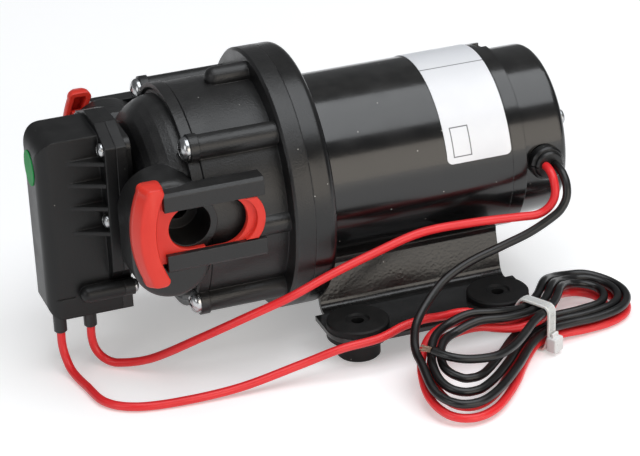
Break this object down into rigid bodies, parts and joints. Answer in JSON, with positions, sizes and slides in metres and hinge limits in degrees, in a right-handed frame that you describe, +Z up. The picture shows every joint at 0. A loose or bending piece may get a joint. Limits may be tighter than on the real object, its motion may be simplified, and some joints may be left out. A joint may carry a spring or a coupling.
{
  "type": "caravan water pump",
  "caption": "Compact diaphragm water pump with a cylindrical motor, rubber-footed bracket, side ports with sliding clips, a pressure switch on the nose and bundled supply leads.",
  "frame": {"origin": "on the floor, midway between the four foot bolts", "axes": "+X along the motor axis toward the motor's rear, +Y across to the outlet port, +Z up"},
  "size_m": [0.2274, 0.1685, 0.1149],
  "materials": {
    "bracket_paint": "black powder coat with a fine crackle",
    "foot_rubber": "soft matt grommet rubber",
    "motor_paint": "satin black paint",
    "ferrite": "ground ferrite and carbon",
    "bright_steel": "bright stainless steel",
    "dark_steel": "blackened steel",
    "lamination_steel": "stacked steel sheet",
    "copper": "copper wire and bars",
    "inner_plastic": "moulded glass-filled plastic",
    "black_rubber": "smooth black rubber",
    "label_film": "blank printed film",
    "head_plastic": "grained black moulding",
    "red_plastic": "satin red moulding",
    "switch_plastic": "fine-grained black moulding",
    "pale_plastic": "natural acetal",
    "green_film": "blank green seal",
    "red_insulation": "satin red insulation",
    "black_insulation": "satin black insulation",
    "tie_nylon": "translucent white nylon"
  },
  "bodies": {
    "pump": {"bracket": "bracket_paint", "front_left_foot": "foot_rubber", "front_right_foot": "foot_rubber", "rear_left_foot": "foot_rubber", "rear_right_foot": "foot_rubber", "motor_can": "motor_paint", "motor_front_bell": "motor_paint", "rear_bell": "motor_paint", "magnets": "ferrite", "front_bearing": "bright_steel", "rear_bearing": "bright_steel", "brush_card": "inner_plastic", "brushes": "ferrite", "brush_springs": "bright_steel", "through_bolts": "dark_steel", "strain_relief": "black_rubber", "label_plate": "label_film", "pump_body": "head_plastic", "diaphragm": "black_rubber", "valve_plate": "inner_plastic", "inlet_valves": "black_rubber", "outlet_valve": "black_rubber", "cover_seal": "black_rubber", "front_cover": "head_plastic", "head_screws": "bright_steel", "switch_base": "switch_plastic", "switch_cap": "switch_plastic", "switch_cap_screws": "bright_steel", "switch_base_screws": "bright_steel", "switch_diaphragm": "black_rubber", "switch_spring": "bright_steel", "microswitch": "inner_plastic", "seal_dot": "green_film", "lead_sleeves": "black_rubber", "red_jumper_lead": "red_insulation", "red_supply_run": "red_insulation", "red_supply_hank": "red_insulation", "black_supply_run": "black_insulation", "black_supply_hank": "black_insulation", "bare_strands": "copper", "cable_tie": "tie_nylon"},
    "rotor": {"motor_shaft": "bright_steel", "armature_core": "lamination_steel", "armature_windings": "copper", "commutator": "copper", "wobble_cam": "lamination_steel"},
    "wobbler": {"cam_bearing": "bright_steel", "wobble_plate": "inner_plastic", "pistons": "black_rubber", "piston_screws": "bright_steel"},
    "inlet_clip": {"inlet_clip": "red_plastic"},
    "outlet_clip": {"outlet_clip": "red_plastic"},
    "plunger": {"switch_plunger": "pale_plastic"}
  },
  "joints": [
    {"name": "rotor_spin", "type": "hinge", "parent": "pump", "child": "rotor", "pos_m": [0, 0, 0.063], "axis": [1, 0, 0], "continuous": true},
    {"name": "wobble_nutation", "type": "hinge", "parent": "rotor", "child": "wobbler", "pos_m": [-0.0785, 0, 0.063], "axis": [0.9976, 0, 0.0698], "continuous": true},
    {"name": "inlet_clip_slide", "type": "slide", "parent": "pump", "child": "inlet_clip", "axis": [-1, 0, 0], "range_m": [0, 0.013]},
    {"name": "outlet_clip_slide", "type": "slide", "parent": "pump", "child": "outlet_clip", "axis": [-1, 0, 0], "range_m": [0, 0.013]},
    {"name": "switch_plunger_slide", "type": "slide", "parent": "pump", "child": "plunger", "axis": [-1, 0, 0], "range_m": [0, 0.001], "stiffness_N_per_m": 2000, "deforming": ["switch_spring"]}
  ],
  "couplings": [
    {"joint": "wobble_nutation", "follows": "rotor_spin", "ratio": -1}
  ]
}
